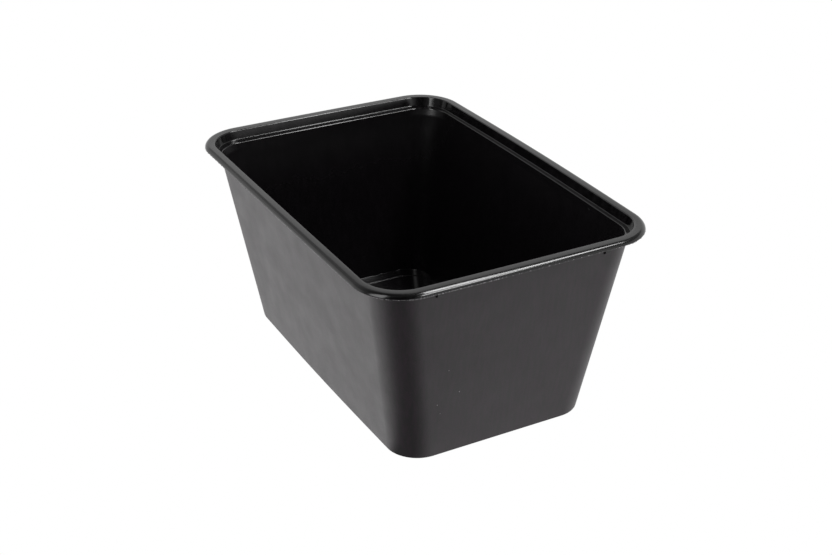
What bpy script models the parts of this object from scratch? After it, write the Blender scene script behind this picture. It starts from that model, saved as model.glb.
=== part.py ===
"""Rectangular takeaway tub, one thin moulded shell. Metres, +Z up, base on z = 0, length along X."""
import math

import bmesh
import bpy
from mathutils import Vector

for old in list(bpy.data.objects):
    bpy.data.objects.remove(old, do_unlink=True)

# Outside sizes.
LENGTH = 0.1750
WIDTH = 0.1213
HEIGHT = 0.0811
RIM_RADIUS = 0.0195

# Outside of the wall: half sizes and corner radius at the base and just under the ledge.
BASE_HALF_X = 0.0711
BASE_HALF_Y = 0.0421
BASE_RADIUS = 0.0130
WALL_TOP_DEPTH = 0.0053
WALL_TOP_HALF_X = LENGTH / 2 - 0.0060
WALL_TOP_HALF_Y = WIDTH / 2 - 0.0063
WALL_TOP_RADIUS = 0.0140

# Thicknesses, and the low raised panel of the floor.
WALL = 0.00052
FLOOR = 0.00058
PANEL_RISE = 0.00032
PANEL_HALF_X = 0.0645
PANEL_HALF_Y = 0.0396
PANEL_RADIUS = 0.0120

# How far the middle of each straight side stands out of a straight line.
RIM_BOW = {"+x": 0.0002, "+y": 0.0010, "-x": 0.0002, "-y": 0.0001}
BASE_BOW = {"+x": 0.0, "+y": 0.0006, "-x": 0.0, "-y": 0.0006}

# Stacking lugs under the ledge, two a side. Those on the ends aren't centred in the photo.
LUG_WIDTH = 0.0022
LUGS_ON_ENDS_Y = (0.0378, -0.0333)
LUGS_ON_SIDES_X = (0.0500, -0.0500)

CORNER_STEPS = 12
SIDE_STEPS = 8
CORNERS = ((1, 1, 0.0, "+y"), (-1, 1, 90.0, "-x"), (-1, -1, 180.0, "-y"), (1, -1, 270.0, "+x"))


def ring(half_x, half_y, radius, z, bow):
    """Points of one level: a rounded rectangle whose straight sides bow outwards."""
    points = []
    for index, (sx, sy, start, side) in enumerate(CORNERS):
        cx = sx * (half_x - radius)
        cy = sy * (half_y - radius)
        for step in range(CORNER_STEPS + 1):
            angle = math.radians(start + 90.0 * step / CORNER_STEPS)
            points.append(Vector((cx + radius * math.cos(angle), cy + radius * math.sin(angle), z)))
        following = CORNERS[(index + 1) % 4]
        out = Vector((round(math.cos(math.radians(start + 90.0))), round(math.sin(math.radians(start + 90.0))), 0.0))
        first = Vector((cx, cy, z)) + out * radius
        last = Vector((following[0] * (half_x - radius), following[1] * (half_y - radius), z)) + out * radius
        for step in range(1, SIDE_STEPS):
            u = step / SIDE_STEPS
            points.append(first.lerp(last, u) + out * bow[side] * math.sin(math.pi * u))
    return points


def rim_ring(inset, depth, extra_x=0.0, extra_y=0.0):
    """A level of the rim, given by how far it lies inside the outermost edge and below the top."""
    half_x = LENGTH / 2 - inset - extra_x
    half_y = WIDTH / 2 - inset - extra_y
    return ring(half_x, half_y, RIM_RADIUS - inset, HEIGHT - depth, RIM_BOW)


def wall_ring(z, inward):
    """A level of the straight tapered wall, moved inwards from the outside face."""
    share = z / (HEIGHT - WALL_TOP_DEPTH)
    half_x = BASE_HALF_X + (WALL_TOP_HALF_X - BASE_HALF_X) * share - inward
    half_y = BASE_HALF_Y + (WALL_TOP_HALF_Y - BASE_HALF_Y) * share - inward
    radius = BASE_RADIUS + (WALL_TOP_RADIUS - BASE_RADIUS) * share - inward
    bow = {side: BASE_BOW[side] + (RIM_BOW[side] - BASE_BOW[side]) * share for side in RIM_BOW}
    return ring(half_x, half_y, radius, z, bow)


def panel_ring(shrink, z):
    return ring(PANEL_HALF_X - shrink, PANEL_HALF_Y - shrink, PANEL_RADIUS - shrink, z, BASE_BOW)


def shell_levels():
    """Levels of the closed shell, from the middle of the floor over the rim to the underside."""
    levels = [
        panel_ring(0.0003, FLOOR + PANEL_RISE),
        panel_ring(0.0, FLOOR + PANEL_RISE * 0.75),
        panel_ring(-0.0002, FLOOR),
        wall_ring(FLOOR, WALL + 0.0008),
        wall_ring(FLOOR + 0.00015, WALL + 0.0003),
        wall_ring(FLOOR + 0.0007, WALL),
        wall_ring(HEIGHT - WALL_TOP_DEPTH, WALL),
    ]
    # Rounded inner edge of the ledge, the ledge, the collar above it, the flat top and its outer edge.
    inner = (
        (0.00625, 0.00455, 0.0, 0.0002),
        (0.00595, 0.00410, 0.0, 0.0001),
        (0.00550, 0.00385, 0.0, 0.0),
        (0.00520, 0.00372, 0.0, 0.0),
        (0.00507, 0.00350, 0.0, 0.0),
        (0.00500, 0.00310, 0.0, 0.0),
        (0.00452, 0.00035, 0.0, 0.0),
        (0.00440, 0.00010, 0.0, 0.0),
        (0.00415, 0.00000, 0.0, 0.0),
        (0.00095, 0.00000, 0.0, 0.0),
        (0.00048, 0.00012, 0.0, 0.0),
        (0.00014, 0.00045, 0.0, 0.0),
        (0.00000, 0.00090, 0.0, 0.0),
        (0.00003, 0.00130, 0.0, 0.0),
        (0.00015, 0.00150, 0.0, 0.0),
        (0.00065, 0.00150, 0.0, 0.0),
        (0.00078, 0.00105, 0.0, 0.0),
        (0.00115, 0.00075, 0.0, 0.0),
        (0.00360, 0.00075, 0.0, 0.0),
        (0.00395, 0.00110, 0.0, 0.0),
        (0.00441, 0.00370, 0.0, 0.0),
        (0.00460, 0.00415, 0.0, 0.0),
        (0.00520, 0.00440, 0.0, 0.0),
        (0.00565, 0.00470, 0.0, 0.0002),
    )
    levels.extend(rim_ring(*row) for row in inner)
    levels.append(wall_ring(HEIGHT - WALL_TOP_DEPTH, 0.0))
    levels.append(wall_ring(0.0004, 0.0))
    levels.append(wall_ring(0.0001, 0.0001))
    levels.append(wall_ring(0.0, 0.0004))
    return levels


def build_shell(name):
    levels = shell_levels()
    mesh = bmesh.new()
    rows = [[mesh.verts.new(point) for point in level] for level in levels]
    count = len(rows[0])
    for lower, upper in zip(rows, rows[1:]):
        for i in range(count):
            j = (i + 1) % count
            mesh.faces.new((lower[i], lower[j], upper[j], upper[i]))
    mesh.faces.new(rows[0])
    mesh.faces.new(list(reversed(rows[-1])))
    bmesh.ops.recalc_face_normals(mesh, faces=mesh.faces)
    bmesh.ops.triangulate(mesh, faces=mesh.faces, quad_method="BEAUTY", ngon_method="BEAUTY")
    data = bpy.data.meshes.new(name)
    mesh.to_mesh(data)
    mesh.free()
    shell = bpy.data.objects.new(name, data)
    bpy.context.scene.collection.objects.link(shell)
    return shell


def bow_at(side, place, half):
    share = (place + half) / (2 * half)
    return RIM_BOW[side] * math.sin(math.pi * share)


def lug_mesh():
    """All eight lugs as closed blocks whose inner faces lie inside the wall."""
    # Inset from the outermost edge and depth below the top, for the ends; the sides sit a little deeper.
    profile = ((0.00475, 0.00375), (0.00490, 0.00575), (0.00640, 0.00665), (0.00630, 0.00515), (0.00525, 0.00385))
    places = []
    for sign in (1, -1):
        for spot in LUGS_ON_ENDS_Y:
            side = "+x" if sign > 0 else "-x"
            bow = bow_at(side, spot, WIDTH / 2 - RIM_RADIUS)
            places.append((Vector((sign, 0, 0)), Vector((0, 1, 0)), LENGTH / 2 + bow, spot, 0.0))
        for spot in LUGS_ON_SIDES_X:
            side = "+y" if sign > 0 else "-y"
            bow = bow_at(side, spot, LENGTH / 2 - RIM_RADIUS)
            places.append((Vector((0, sign, 0)), Vector((1, 0, 0)), WIDTH / 2 + bow, spot, 0.00022))
    mesh = bmesh.new()
    for out, along, reach, spot, deeper in places:
        rows = []
        for shift in (-LUG_WIDTH / 2, LUG_WIDTH / 2):
            row = []
            for inset, depth in profile:
                inset += deeper if inset > 0.006 else 0.0
                point = out * (reach - inset) + along * (spot + shift) + Vector((0, 0, HEIGHT - depth))
                row.append(mesh.verts.new(point))
            rows.append(row)
        count = len(profile)
        mesh.faces.new(rows[0])
        mesh.faces.new(list(reversed(rows[1])))
        for i in range(count):
            j = (i + 1) % count
            mesh.faces.new((rows[0][i], rows[1][i], rows[1][j], rows[0][j]))
    bmesh.ops.recalc_face_normals(mesh, faces=mesh.faces)
    bmesh.ops.triangulate(mesh, faces=mesh.faces)
    data = bpy.data.meshes.new("lugs")
    mesh.to_mesh(data)
    mesh.free()
    lugs = bpy.data.objects.new("lugs", data)
    bpy.context.scene.collection.objects.link(lugs)
    return lugs


def join_solids(shell, extra):
    """Unite the second solid with the first and keep one plain mesh."""
    modifier = shell.modifiers.new("unite", "BOOLEAN")
    modifier.operation = "UNION"
    modifier.solver = "EXACT"
    modifier.object = extra
    graph = bpy.context.evaluated_depsgraph_get()
    united = bpy.data.meshes.new_from_object(shell.evaluated_get(graph))
    shell.modifiers.clear()
    shell.data = united
    bpy.data.objects.remove(extra, do_unlink=True)


def plastic(name):
    material = bpy.data.materials.new(name)
    material.use_nodes = True
    shader = material.node_tree.nodes["Principled BSDF"]
    shader.inputs["Base Color"].default_value = (0.012, 0.012, 0.013, 1.0)
    shader.inputs["Roughness"].default_value = 0.28
    shader.inputs["Metallic"].default_value = 0.0
    return material


container = build_shell("container")
join_solids(container, lug_mesh())
container.data.name = "container"
container.data.materials.clear()
container.data.materials.append(plastic("container"))
for face in container.data.polygons:
    face.use_smooth = True
    face.material_index = 0
container.data.set_sharp_from_angle(angle=math.radians(32.0))
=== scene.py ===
"""Looks of the black takeaway tub.

A smooth moulded shell with its moulding marks, a pale floor, soft lights and the photograph's camera.
"""
import math
import random

import bmesh
import bpy
from mathutils import Matrix, Vector


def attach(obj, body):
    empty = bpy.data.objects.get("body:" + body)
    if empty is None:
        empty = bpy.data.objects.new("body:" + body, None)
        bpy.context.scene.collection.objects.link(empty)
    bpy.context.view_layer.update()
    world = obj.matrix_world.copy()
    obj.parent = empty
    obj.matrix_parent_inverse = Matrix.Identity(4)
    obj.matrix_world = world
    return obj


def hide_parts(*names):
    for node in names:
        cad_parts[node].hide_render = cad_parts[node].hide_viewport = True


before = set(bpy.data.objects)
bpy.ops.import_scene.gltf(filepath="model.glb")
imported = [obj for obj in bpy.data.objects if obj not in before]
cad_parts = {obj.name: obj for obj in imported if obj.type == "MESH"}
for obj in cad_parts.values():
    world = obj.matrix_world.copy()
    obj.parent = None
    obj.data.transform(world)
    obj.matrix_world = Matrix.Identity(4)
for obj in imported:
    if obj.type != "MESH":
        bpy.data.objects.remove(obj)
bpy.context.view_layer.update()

MM = 0.001

# Sizes of the tub in mm. They are the solid's, but here the middle of the floor is lower and the ledge is
# wider on the ends.
LENGTH = 175.0
WIDTH = 121.3
HEIGHT = 81.1
RIM_RADIUS = 19.5
BASE_HALF = (71.1, 42.1)
BASE_RADIUS = 13.0
WALL_TOP_DEPTH = 5.3
WALL_TOP_HALF = (LENGTH / 2 - 6.0, WIDTH / 2 - 6.3)
WALL_TOP_RADIUS = 14.0
WALL = 0.52
FLOOR = 0.58
PANEL_DROP = 0.24
PANEL_HALF = (64.5, 39.6)
PANEL_RADIUS = 12.0

# How far the middle of each side stands out of a straight line, in the order +X, +Y, -X, -Y.
RIM_BOW = (0.2, 1.0, 0.2, 0.1)
BASE_BOW = (0.0, 0.6, 0.0, 0.6)

# Inside, the wall is straight up to the first depth below the top. At the second, just under the ledge, it
# stands further in on the ends and its corners are rounder.
STRAIGHT_TOP_DEPTH = 14.0
FLARE_DEPTH = 7.2
FLARE_SHIFT_X = 1.8
FLARE_ROUNDER = 0.6

# Stacking lugs: how each is cut (inset from the rim's edge, depth below the top) and where they are. On the
# long sides the points beyond the inner inset lie a little further in.
LUG_PROFILE = ((4.75, 3.75), (4.90, 5.75), (6.40, 6.65), (6.30, 5.15), (5.25, 3.85))
LUG_INNER_INSET = 6.0
LUG_EXTRA_ON_SIDES = 0.22
LUG_WIDTH = 2.2
LUGS_ON_ENDS_Y = (37.8, -33.3)
LUGS_ON_SIDES_X = (50.0, -50.0)

CORNER_STEPS = 28
SIDE_STEPS = 40
# How far beyond a rounding of the ledge its extra row lies.
SUPPORT_REACH = 0.1


def new_object(name, data):
    made = bpy.data.objects.new(name, data)
    bpy.context.scene.collection.objects.link(made)
    return made


def level(half_x, half_y, radius, z, bow_share):
    """One level of the shell as a row of numbers that can be blended with another."""
    return (half_x, half_y, radius, z, bow_share)


def inner_level(inset_x, inset_y, depth):
    """A level given by its inset from the rim's edge, on the ends and on the long sides, and its depth."""
    radius = RIM_RADIUS - (inset_x + inset_y) / 2
    return level(LENGTH / 2 - inset_x, WIDTH / 2 - inset_y, radius, HEIGHT - depth, 1.0)


def rim_level(inset, depth):
    return inner_level(inset, inset, depth)


def wall_level(z, inward):
    """A level of the straight tapered wall, moved inwards from its outside face."""
    share = z / (HEIGHT - WALL_TOP_DEPTH)
    half_x = BASE_HALF[0] + (WALL_TOP_HALF[0] - BASE_HALF[0]) * share - inward
    half_y = BASE_HALF[1] + (WALL_TOP_HALF[1] - BASE_HALF[1]) * share - inward
    radius = BASE_RADIUS + (WALL_TOP_RADIUS - BASE_RADIUS) * share - inward
    return level(half_x, half_y, radius, z, share)


def flare_level():
    """The level just under the ledge, from which the inside of the wall leans in to the ledge's edge."""
    half_x, half_y, radius, z, bow_share = wall_level(HEIGHT - FLARE_DEPTH, WALL)
    return level(half_x - FLARE_SHIFT_X, half_y, radius + FLARE_ROUNDER, z, bow_share)


def panel_level(grow, z):
    """A level of the step round the middle of the floor."""
    return level(PANEL_HALF[0] + grow, PANEL_HALF[1] + grow, PANEL_RADIUS + grow, z, 0.0)


def ring_points(row):
    """Points round one level, starting at the +X end of the +X+Y corner."""
    half_x, half_y, radius, z, share = row
    bows = [b + (r - b) * share for b, r in zip(BASE_BOW, RIM_BOW)]
    signs = ((1, 1), (-1, 1), (-1, -1), (1, -1))
    points = []
    for index, (sx, sy) in enumerate(signs):
        centre = Vector((sx * (half_x - radius), sy * (half_y - radius)))
        nx, ny = signs[(index + 1) % 4]
        following = Vector((nx * (half_x - radius), ny * (half_y - radius)))
        start = index * 90.0
        for step in range(CORNER_STEPS + 1):
            angle = math.radians(start + 90.0 * step / CORNER_STEPS)
            points.append(centre + radius * Vector((math.cos(angle), math.sin(angle))))
        angle = math.radians(start + 90.0)
        out = Vector((round(math.cos(angle)), round(math.sin(angle))))
        bow = bows[(index + 1) % 4]
        for step in range(1, SIDE_STEPS):
            u = step / SIDE_STEPS
            points.append(centre.lerp(following, u) + out * (radius + bow * math.sin(math.pi * u)))
    return [Vector((p.x * MM, p.y * MM, z * MM)) for p in points]


def blend(a, b, t):
    return tuple(x + (y - x) * t for x, y in zip(a, b))


def part_way(row, other, reach):
    """The level that lies so many mm from one level towards another, measured across the wall section."""
    return blend(row, other, reach / math.dist((row[0], row[3]), (other[0], other[3])))


def turn_between(before, row, after):
    """How far the wall section turns at a level."""
    first = Vector((row[0] - before[0], row[3] - before[3]))
    second = Vector((after[0] - row[0], after[3] - row[3]))
    return first.angle(second)


def rounded(corners):
    """Rounds the corners of the wall section. A corner is (level, reach before, reach after, steps, zone).

    The ledge gets an extra row beside each rounding, which keeps its flats flat in reflections.
    """
    rows = []
    for i, (row, reach_before, reach_after, steps, zone) in enumerate(corners):
        if steps == 0:
            rows.append((row, zone))
            continue
        before = corners[i - 1][0]
        after = corners[i + 1][0]
        first = part_way(row, before, reach_before)
        last = part_way(row, after, reach_after)
        weight = math.cos(turn_between(before, row, after) / 2)
        if zone == "ledge":
            rows.append((part_way(row, before, reach_before + SUPPORT_REACH), zone))
        for step in range(steps + 1):
            t = step / steps
            shares = ((1 - t) ** 2, 2 * weight * t * (1 - t), t**2)
            total = sum(shares)
            point = tuple(
                (shares[0] * a + shares[1] * b + shares[2] * c) / total for a, b, c in zip(first, row, last)
            )
            rows.append((point, zone))
        if zone == "ledge":
            rows.append((part_way(row, after, reach_after + SUPPORT_REACH), zone))
    return rows


def section():
    """Corners of the wall section, from the middle of the floor over the rim to the underside."""
    low = FLOOR - PANEL_DROP
    return (
        (panel_level(-1.5, low), 0.0, 0.0, 0, "inside"),
        (panel_level(0.0, low), 0.20, 0.18, 8, "inside"),
        (panel_level(0.45, FLOOR), 0.2, 0.3, 8, "inside"),
        (wall_level(FLOOR, WALL), 0.14, 0.14, 6, "inside"),
        (wall_level(HEIGHT - STRAIGHT_TOP_DEPTH, WALL), 0.0, 0.0, 0, "inside"),
        (flare_level(), 0.6, 0.6, 5, "inside"),
        (inner_level(9.1, 6.80, 4.06), 0.40, 0.42, 8, "ledge"),
        (inner_level(5.74, 5.18, 3.94), 0.20, 0.24, 8, "ledge"),
        (inner_level(4.92, 4.25, 0.05), 0.34, 0.34, 12, "ledge"),
        (rim_level(2.90, 0.0), 1.05, 0.75, 6, "rim"),
        (rim_level(0.40, 0.0), 1.44, 1.42, 18, "rim"),
        (rim_level(0.04, 1.58), 0.09, 0.09, 4, "rim"),
        (rim_level(0.70, 1.58), 0.14, 0.14, 4, "rim"),
        (rim_level(0.82, 0.75), 0.25, 0.25, 5, "rim"),
        (rim_level(4.25, 0.80), 0.35, 0.35, 5, "rim"),
        (rim_level(4.62, 4.68), 0.20, 0.20, 5, "outside"),
        (wall_level(HEIGHT - WALL_TOP_DEPTH, 0.0), 0.45, 0.45, 5, "outside"),
        (wall_level(0.0, 0.0), 0.42, 0.42, 6, "outside"),
        (wall_level(0.0, 2.0), 0.0, 0.0, 0, "outside"),
    )


def node(tree, kind, **settings):
    """A new shader node. Each setting goes to the input of that name, or else to the node's own property."""
    made = tree.nodes.new(kind)
    for key, value in settings.items():
        if key in made.inputs:
            made.inputs[key].default_value = value
        else:
            setattr(made, key, value)
    return made


def ramp(tree, source, low, high, out_low, out_high):
    """A number mapped from one range to another, clamped."""
    made = node(tree, "ShaderNodeMapRange")
    made.inputs["From Min"].default_value = low
    made.inputs["From Max"].default_value = high
    made.inputs["To Min"].default_value = out_low
    made.inputs["To Max"].default_value = out_high
    tree.links.new(source, made.inputs["Value"])
    return made.outputs["Result"]


def maths(tree, operation, first, second):
    made = node(tree, "ShaderNodeMath", operation=operation)
    for socket, value in zip(made.inputs, (first, second)):
        tree.links.new(value, socket)
    return made.outputs["Value"]


def noise(tree, place, cells_per_metre, detail, roughness):
    """Cloudy noise round 0.5 at a place."""
    made = node(tree, "ShaderNodeTexNoise", Scale=cells_per_metre, Detail=detail, Roughness=roughness)
    tree.links.new(place, made.inputs["Vector"])
    return made.outputs["Fac"]


def bump(tree, height, depth_mm):
    made = node(tree, "ShaderNodeBump", Strength=1.0, Distance=depth_mm * MM)
    tree.links.new(height, made.inputs["Height"])
    return made


def coordinates(tree, place):
    """The X, Y and Z of a place, by name."""
    parts = node(tree, "ShaderNodeSeparateXYZ")
    tree.links.new(place, parts.inputs["Vector"])
    return parts.outputs


# Where the gloss of the inside changes, in metres: at the floor, up the wall, and along X near the far end,
# with the share of the change up the wall that is left elsewhere.
FLOOR_HEIGHTS = (0.0012, 0.0018)
WALL_HEIGHTS = (0.040, 0.074)
FAR_END_X = (-0.080, -0.060)
ELSEWHERE_SHARE = 0.3

# Noise patterns as cells per metre, detail and roughness. The grain's cells are each plastic's own.
CLOUD = (90.0, 4.0, 0.55)
STREAKS = (700.0, 3.0, 0.6)
SPECKLE = (2200.0, 2.0, 0.7)
GRAIN = (3.0, 0.6)

# The part of the cloud's range that is used, the scale that draws the streaks out along Z, and the shares of
# the plastic's colour between which it runs.
CLOUD_RANGE = (0.3, 0.7)
STREAK_SCALE = (1.0, 1.0, 0.12)
DARKEST = 0.3
PALEST = 1.7
PLASTIC_IOR = 1.49


def plastic(
    name, colour, rough, grain_mm, grain_depth_mm, streak_depth_mm,
    floor_rough=0.0, wall_rough=0.0, mottle=0.12,
):
    """Moulded black plastic with fine grain, streaks, mottle and slightly uneven gloss, all by position.

    rough is the lowest and highest roughness. floor_rough is added to it on the floor, and wall_rough high up
    the wall. A smaller mottle is a sharper one.
    """
    material = bpy.data.materials.new(name)
    material.use_nodes = True
    tree = material.node_tree
    shader = tree.nodes["Principled BSDF"]
    place = node(tree, "ShaderNodeTexCoord").outputs["Object"]
    stretch = node(tree, "ShaderNodeMapping", Scale=STREAK_SCALE)
    tree.links.new(place, stretch.inputs["Vector"])
    cloud = noise(tree, place, *CLOUD)
    streaks = noise(tree, stretch.outputs["Vector"], *STREAKS)
    grain = noise(tree, place, 1000.0 / grain_mm, *GRAIN)
    speckle = noise(tree, place, *SPECKLE)

    parts = coordinates(tree, place)
    gloss = ramp(tree, cloud, *CLOUD_RANGE, *rough)
    lower = ramp(tree, parts["Z"], *FLOOR_HEIGHTS, floor_rough, 0.0)
    far_end = ramp(tree, parts["X"], *FAR_END_X, wall_rough, wall_rough * ELSEWHERE_SHARE)
    upper = maths(tree, "MULTIPLY", ramp(tree, parts["Z"], *WALL_HEIGHTS, 0.0, 1.0), far_end)
    tree.links.new(maths(tree, "ADD", gloss, maths(tree, "ADD", lower, upper)), shader.inputs["Roughness"])

    tint = node(tree, "ShaderNodeMix", data_type="RGBA")
    tint.inputs["A"].default_value = (*[c * DARKEST for c in colour], 1.0)
    tint.inputs["B"].default_value = (*[c * PALEST for c in colour], 1.0)
    spots = ramp(tree, maths(tree, "ADD", speckle, streaks), 1.0 - mottle, 1.0 + mottle, 0.0, 1.0)
    tree.links.new(spots, tint.inputs["Factor"])
    tree.links.new(tint.outputs["Result"], shader.inputs["Base Color"])

    fine = bump(tree, grain, grain_depth_mm)
    wave = bump(tree, streaks, streak_depth_mm)
    tree.links.new(fine.outputs["Normal"], wave.inputs["Normal"])
    tree.links.new(wave.outputs["Normal"], shader.inputs["Normal"])
    shader.inputs["IOR"].default_value = PLASTIC_IOR
    return material


# Each zone's plastic: colour, roughness, size and depth of the grain, and depth of the streaks. The last is
# for the moulding marks, which are pieces of their own.
MATERIALS = {
    # The inside is the same black plastic as the rim, given a paler colour: painted light in place of the
    # light the dim inside of the tub lacks.
    "inside": plastic(
        "plastic_inside_painted_light", (0.0042, 0.0036, 0.0043), (0.17, 0.21), 0.5, 0.0010, 0.0008,
        floor_rough=-0.06, wall_rough=0.22, mottle=0.5,
    ),
    # The ledge and collar also get a paler colour than the rim: painted light.
    "ledge": plastic("plastic_ledge_painted_light", (0.0044, 0.0040, 0.0044), (0.09, 0.13), 0.4, 0.0008, 0.0004),
    "rim": plastic("plastic_rim", (0.0012, 0.0011, 0.0012), (0.14, 0.20), 0.4, 0.0008, 0.0004),
    "outside": plastic("plastic_outside", (0.0052, 0.0010, 0.0042), (0.43, 0.49), 0.45, 0.009, 0.001),
    "marks": plastic("plastic_marks", (0.15, 0.14, 0.15), (0.30, 0.45), 0.3, 0.0010, 0.0004),
}
ZONES = ["inside", "ledge", "rim", "outside"]


def mesh_piece(name, mesh, zones, smooth):
    """Turns a finished bmesh into a piece with the plastics of its zones."""
    bmesh.ops.recalc_face_normals(mesh, faces=mesh.faces)
    for face in mesh.faces:
        face.smooth = smooth
    data = bpy.data.meshes.new(name)
    mesh.to_mesh(data)
    mesh.free()
    for zone in zones:
        data.materials.append(MATERIALS[zone])
    return new_object(name, data)


def build_shell():
    rows = rounded(section())
    mesh = bmesh.new()
    rings = [[mesh.verts.new(point) for point in ring_points(row)] for row, _ in rows]
    count = len(rings[0])
    for k in range(len(rings) - 1):
        zone = ZONES.index(rows[k][1])
        for i in range(count):
            j = (i + 1) % count
            face = mesh.faces.new((rings[k][i], rings[k][j], rings[k + 1][j], rings[k + 1][i]))
            face.material_index = zone
    floor_face = mesh.faces.new(rings[0])
    floor_face.material_index = ZONES.index("inside")
    under_face = mesh.faces.new(list(reversed(rings[-1])))
    under_face.material_index = ZONES.index("outside")
    return mesh_piece("tub", mesh, ZONES, smooth=True)


def bow_at(side, place, half):
    """How far a side of the rim stands out at a place along it."""
    return RIM_BOW[side] * math.sin(math.pi * (place + half) / (2 * half))


def build_lugs():
    """Eight small stacking lugs under the rim, two a side, the same as on the solid."""
    mesh = bmesh.new()
    for side in range(4):
        sign = 1 if side < 2 else -1
        on_end = side % 2 == 0
        out = Vector((sign, 0, 0)) if on_end else Vector((0, sign, 0))
        along = Vector((0, 1, 0)) if on_end else Vector((1, 0, 0))
        half = (WIDTH if on_end else LENGTH) / 2 - RIM_RADIUS
        deeper = 0.0 if on_end else LUG_EXTRA_ON_SIDES
        for spot in LUGS_ON_ENDS_Y if on_end else LUGS_ON_SIDES_X:
            reach = (LENGTH if on_end else WIDTH) / 2 + bow_at(side, spot, half)
            rows = []
            for shift in (-LUG_WIDTH / 2, LUG_WIDTH / 2):
                row = []
                for inset, depth in LUG_PROFILE:
                    inset += deeper if inset > LUG_INNER_INSET else 0.0
                    point = out * (reach - inset) + along * (spot + shift) + Vector((0, 0, HEIGHT - depth))
                    row.append(mesh.verts.new(point * MM))
                rows.append(row)
            mesh.faces.new(rows[0])
            mesh.faces.new(list(reversed(rows[1])))
            for i in range(len(LUG_PROFILE)):
                j = (i + 1) % len(LUG_PROFILE)
                mesh.faces.new((rows[0][i], rows[1][i], rows[1][j], rows[0][j]))
    return mesh_piece("lugs", mesh, ["rim"], smooth=False)


def beads(name, spots, zone):
    """Small flattened lumps of plastic. A spot is (centre and half sizes in mm, turn about Z in degrees)."""
    mesh = bmesh.new()
    for centre, half, turn in spots:
        shape = Matrix.Translation(Vector(centre) * MM) @ Matrix.Rotation(math.radians(turn), 4, "Z")
        shape = shape @ Matrix.Diagonal((half[0] * MM, half[1] * MM, half[2] * MM, 1.0))
        bmesh.ops.create_icosphere(mesh, subdivisions=2, radius=1.0, matrix=shape)
    return mesh_piece(name, mesh, [zone], smooth=True)


# Moulding flash in mm: inset and depth of its line, then each bead's length and half depth, its half height
# where the flash is thick and elsewhere, and the widest gap after it near the thick part and elsewhere.
FLASH_LINE = (0.13, 1.66)
BEAD_LENGTH = (0.25, 1.2)
BEAD_HALF_DEPTH = 0.11
THICK_HALF_HEIGHT = (0.14, 0.27)
THIN_HALF_HEIGHT = (0.09, 0.14)
CLOSE_GAP = 0.5
WIDE_GAP = 3.0
# The beads lie close beyond this X and below the first Y, and there they are thick above the second Y, all in
# metres.
CLOSE_FROM_X = 0.070
CLOSE_BELOW_Y = -0.012
THICK_ABOVE_Y = -0.048


def build_flash():
    """Moulding flash along the lower edge of the rim: thick near one corner, thin and broken further on."""
    rng = random.Random(7)
    edge = ring_points(rim_level(*FLASH_LINE))
    lengths = [(edge[(i + 1) % len(edge)] - edge[i]).length for i in range(len(edge))]
    total = sum(lengths)
    spots = []
    place = 0.0
    while place < total:
        length = rng.uniform(*BEAD_LENGTH) * MM
        index = 0
        rest = (place + length / 2) % total
        while rest > lengths[index]:
            rest -= lengths[index]
            index += 1
        step = edge[(index + 1) % len(edge)] - edge[index]
        centre = edge[index] + step.normalized() * rest
        close = centre.x > CLOSE_FROM_X and centre.y < CLOSE_BELOW_Y
        thick = close and centre.y > THICK_ABOVE_Y
        half_height = rng.uniform(*(THICK_HALF_HEIGHT if thick else THIN_HALF_HEIGHT))
        turn = math.degrees(math.atan2(step.y, step.x))
        spots.append((centre / MM, (length / MM / 2, BEAD_HALF_DEPTH, half_height), turn))
        place += length + rng.uniform(0.0, CLOSE_GAP if close else WIDE_GAP) * MM
    return beads("flash", spots, "marks")


# Specks on the near wall in mm: Y, Z and half size. Then the one on the far collar and the mark inside, each
# as its centre and half sizes.
WALL_SPECKS = ((-29.5, 25.0, 0.28), (-28.0, 20.5, 0.22), (-20.5, 28.5, 0.24), (-26.0, 40.0, 0.22))
SPECK_HALF_DEPTH = 0.12
SPECK_STANDS_OUT = 0.02
COLLAR_SPECK = ((-LENGTH / 2 + 4.75, 44.0, HEIGHT - 1.2), (0.12, 0.3, 0.2))
SINK_MARK = ((47.2, WIDTH / 2 - 6.85, HEIGHT - 6.1), (0.7, 0.12, 0.4))


def build_specks():
    """A few specks moulded into the near wall and the far collar."""
    spots = []
    for y, z, size in WALL_SPECKS:
        x = wall_level(z, 0.0)[0] + SPECK_STANDS_OUT
        spots.append(((x, y, z), (SPECK_HALF_DEPTH, size, size), 0.0))
    spots.append((*COLLAR_SPECK, 0.0))
    return beads("specks", spots, "marks")


def build_sink_mark():
    """A small raised mark high on the inside of the far long side."""
    return beads("sink_mark", [(*SINK_MARK, 0.0)], "inside")


tub = build_shell()
lugs = build_lugs()
flash = build_flash()
specks = build_specks()
sink_mark = build_sink_mark()
for piece in (tub, lugs, flash, specks, sink_mark):
    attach(piece, "root")
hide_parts("container")

BLACK = (0.0, 0.0, 0.0, 1.0)
WHITE = (1.0, 1.0, 1.0, 1.0)


def towards(azimuth, elevation):
    """Unit vector of a direction given in degrees, azimuth from +X towards +Y."""
    a = math.radians(azimuth)
    e = math.radians(elevation)
    return Vector((math.cos(e) * math.cos(a), math.cos(e) * math.sin(a), math.sin(e)))


def aimed(tree, direction, spot):
    """A value that changes in a round spot of directions.

    A spot is the azimuth and elevation of its middle and the angles from it where the change begins and ends,
    all in degrees, and the value outside and inside.
    """
    azimuth, elevation, outer, inner, value_outside, value_inside = spot
    facing = node(tree, "ShaderNodeVectorMath", operation="DOT_PRODUCT")
    tree.links.new(direction, facing.inputs[0])
    facing.inputs[1].default_value = towards(azimuth, elevation)
    limits = (math.cos(math.radians(outer)), math.cos(math.radians(inner)))
    return ramp(tree, facing.outputs["Value"], *limits, value_outside, value_inside)


# The floor, and just above it the sheet that only reflections see. That sheet glows brighter or darker by
# side, which paints the floor's light and shadow into the tub's reflections.
SHEET_SIZE_M = 12.0
FLOOR_Z_MM = -0.3
GLOW_Z_MM = -0.2
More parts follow.
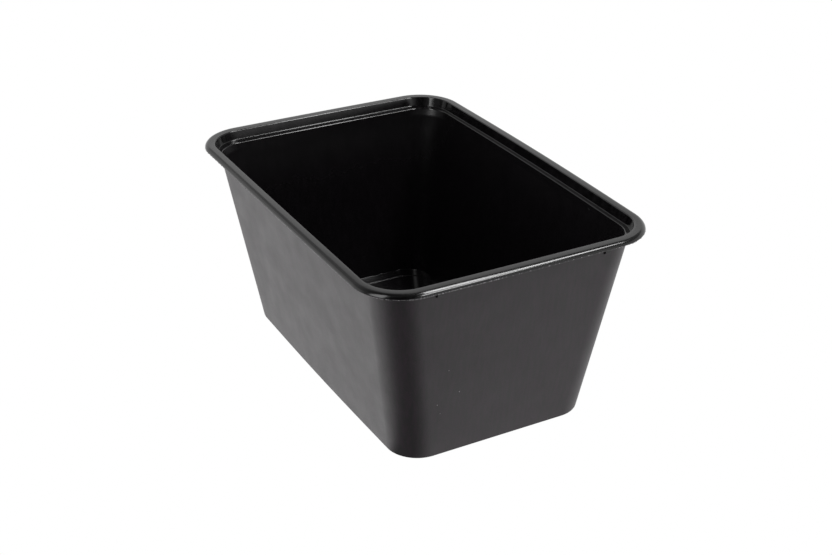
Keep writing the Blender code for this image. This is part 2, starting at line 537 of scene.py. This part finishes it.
# The glow's sides are told apart by their direction from this point, in metres.
GLOW_CENTRE = (0.060, -0.035, 0.0)
# Painted shadow: the sheet glows darker in front of the tub, in place of the floor's shade there, seen only
# in the tub's reflections.
PAINTED_SHADOW_FRONT = (-38.0, 0.0, 61.0, 25.0, 1.0, 0.31)
# Painted light: the sheet glows brighter to the left, seen only in the tub's reflections.
PAINTED_LIGHT_LEFT = (-150.0, 0.0, 62.0, 25.0, 1.0, 1.25)


def floor_sheet(name, z_mm):
    """A wide level sheet that gives out an even white light. Returns it with its node tree and shader."""
    place = (0.0, 0.0, z_mm * MM)
    bpy.ops.mesh.primitive_grid_add(x_subdivisions=2, y_subdivisions=2, size=SHEET_SIZE_M, location=place)
    sheet = bpy.context.object
    sheet.name = name
    material = bpy.data.materials.new(name)
    material.use_nodes = True
    shader = material.node_tree.nodes["Principled BSDF"]
    shader.inputs["Base Color"].default_value = BLACK
    shader.inputs["Roughness"].default_value = 1.0
    shader.inputs["Specular IOR Level"].default_value = 0.0
    shader.inputs["Emission Color"].default_value = WHITE
    shader.inputs["Emission Strength"].default_value = 1.0
    sheet.data.materials.append(material)
    return sheet, material.node_tree, shader


def build_floor():
    """The white floor, and just above it a sheet that only reflections see, with painted shadow in front and
    painted light to the left.
    """
    floor_sheet("floor", FLOOR_Z_MM)
    sheet, tree, shader = floor_sheet("floor_painted_reflection", GLOW_Z_MM)
    sheet.visible_camera = False
    place = node(tree, "ShaderNodeTexCoord").outputs["Object"]
    offset = node(tree, "ShaderNodeVectorMath", operation="SUBTRACT")
    tree.links.new(place, offset.inputs[0])
    offset.inputs[1].default_value = GLOW_CENTRE
    heading = node(tree, "ShaderNodeVectorMath", operation="NORMALIZE")
    tree.links.new(offset.outputs["Vector"], heading.inputs[0])
    # The painted shadow in front and the painted light to the left, multiplied into the sheet's glow.
    front = aimed(tree, heading.outputs["Vector"], PAINTED_SHADOW_FRONT)
    left = aimed(tree, heading.outputs["Vector"], PAINTED_LIGHT_LEFT)
    tree.links.new(maths(tree, "MULTIPLY", front, left), shader.inputs["Emission Strength"])


# The room's brightness: two bands, each the elevations in degrees where its change begins and ends and the
# value below and above it, and three round spots.
WALL_TOP = (26.3, 28.7, 0.92, 0.28)
CEILING = (48.0, 62.0, 1.0, 0.35)
PALE_SIDE = (-160.0, 25.0, 45.0, 15.0, 0.28, 0.5)
DARK_BEHIND_CAMERA = (-21.0, 30.0, 38.0, 28.0, 1.0, 0.12)
DARK_LOW_LEFT = (-62.0, 3.0, 54.0, 42.0, 1.0, 0.2)


def by_elevation(tree, height, band):
    """A value that changes between two elevations."""
    start, end, value_below, value_above = band
    limits = (math.sin(math.radians(start)), math.sin(math.radians(end)))
    return ramp(tree, height, *limits, value_below, value_above)


def build_world():
    """Pale near the horizon, dark overhead and dark where the room opens behind the camera."""
    world = bpy.data.worlds.new("studio")
    bpy.context.scene.world = world
    world.use_nodes = True
    tree = world.node_tree
    backdrop = tree.nodes["Background"]
    direction = node(tree, "ShaderNodeTexCoord").outputs["Generated"]
    height = coordinates(tree, direction)["Z"]
    pale = by_elevation(tree, height, WALL_TOP)
    dark = by_elevation(tree, height, CEILING)
    side = aimed(tree, direction, PALE_SIDE)
    overhead = maths(tree, "MULTIPLY", maths(tree, "MAXIMUM", pale, side), dark)
    behind = aimed(tree, direction, DARK_BEHIND_CAMERA)
    low_left = aimed(tree, direction, DARK_LOW_LEFT)
    openings = maths(tree, "MULTIPLY", behind, low_left)
    tree.links.new(maths(tree, "MULTIPLY", overhead, openings), backdrop.inputs["Strength"])
    backdrop.inputs["Color"].default_value = WHITE


def soft_panel(name, centre_mm, size_mm, brightness, aim_mm):
    """A rectangular soft light of an even brightness that faces a point."""
    data = bpy.data.lights.new(name, "AREA")
    data.shape = "RECTANGLE"
    data.size = size_mm[0] * MM
    data.size_y = size_mm[1] * MM
    data.energy = brightness * math.pi * data.size * data.size_y
    lamp = new_object(name, data)
    centre = Vector(centre_mm) * MM
    direction = centre - Vector(aim_mm) * MM
    turn = direction.to_track_quat("Z", "Y").to_matrix().to_4x4()
    lamp.matrix_world = Matrix.Translation(centre) @ turn


# Soft lights in mm. Those overhead shine straight down from one height: name, X, Y, size and brightness.
OVERHEAD_Z = 680.0
OVERHEAD = (
    ("top_panel", 105.0, 262.0, (440.0, 72.0), 19.0),
    ("top_panel_middle", 257.0, 314.0, (135.0, 32.0), 22.0),
    ("top_panel_end", 211.0, 385.0, (228.0, 110.0), 22.0),
)


def build_lights():
    soft_panel("right_panel", (455.0, 179.0, 430.0), (306.0, 110.0), 17.0, (423.0, 84.0, 430.0))
    for name, x, y, size, brightness in OVERHEAD:
        soft_panel(name, (x, y, OVERHEAD_Z), size, brightness, (x, y, 0.0))
    soft_panel("left_panel", (301.0, -678.0, 700.0), (706.0, 1150.0), 3.8, (1022.0, 15.0, 700.0))


# The fitted camera: turn, tilt and roll in degrees, its distance and slides to the right and up in mm, and
# its focal length in pixels of a picture of this width.
CAMERA_TURN = 61.4
CAMERA_TILT = 27.58
CAMERA_ROLL = 0.08
CAMERA_DISTANCE = 607.55
CAMERA_RIGHT = 1.85
CAMERA_UP = 32.5
FOCAL_PIXELS = 1421.5
PICTURE_PIXELS = 832.0
SENSOR_WIDTH = 36.0


def build_camera():
    """The photograph's view: turned about the tub, then slid in its own plane to frame it."""
    turn = math.radians(CAMERA_TURN)
    tilt = math.radians(CAMERA_TILT)
    roll = math.radians(CAMERA_ROLL)
    back = Vector((math.sin(turn) * math.cos(tilt), -math.cos(turn) * math.cos(tilt), math.sin(tilt)))
    level_right = Vector((math.cos(turn), math.sin(turn), 0.0))
    level_up = back.cross(level_right)
    right = level_right * math.cos(roll) + level_up * math.sin(roll)
    up = level_up * math.cos(roll) - level_right * math.sin(roll)
    place = (back * CAMERA_DISTANCE + right * CAMERA_RIGHT + up * CAMERA_UP) * MM
    data = bpy.data.cameras.new("camera")
    data.sensor_width = SENSOR_WIDTH
    data.lens = SENSOR_WIDTH * FOCAL_PIXELS / PICTURE_PIXELS
    data.clip_start = 0.01
    data.clip_end = 50.0
    camera = new_object("camera", data)
    rotation = Matrix((right, up, back)).transposed()
    camera.matrix_world = Matrix.Translation(place) @ rotation.to_4x4()
    bpy.context.scene.camera = camera


build_floor()
build_world()
build_lights()
build_camera()
bpy.context.scene.view_settings.view_transform = "Standard"
bpy.context.scene.view_settings.look = "None"
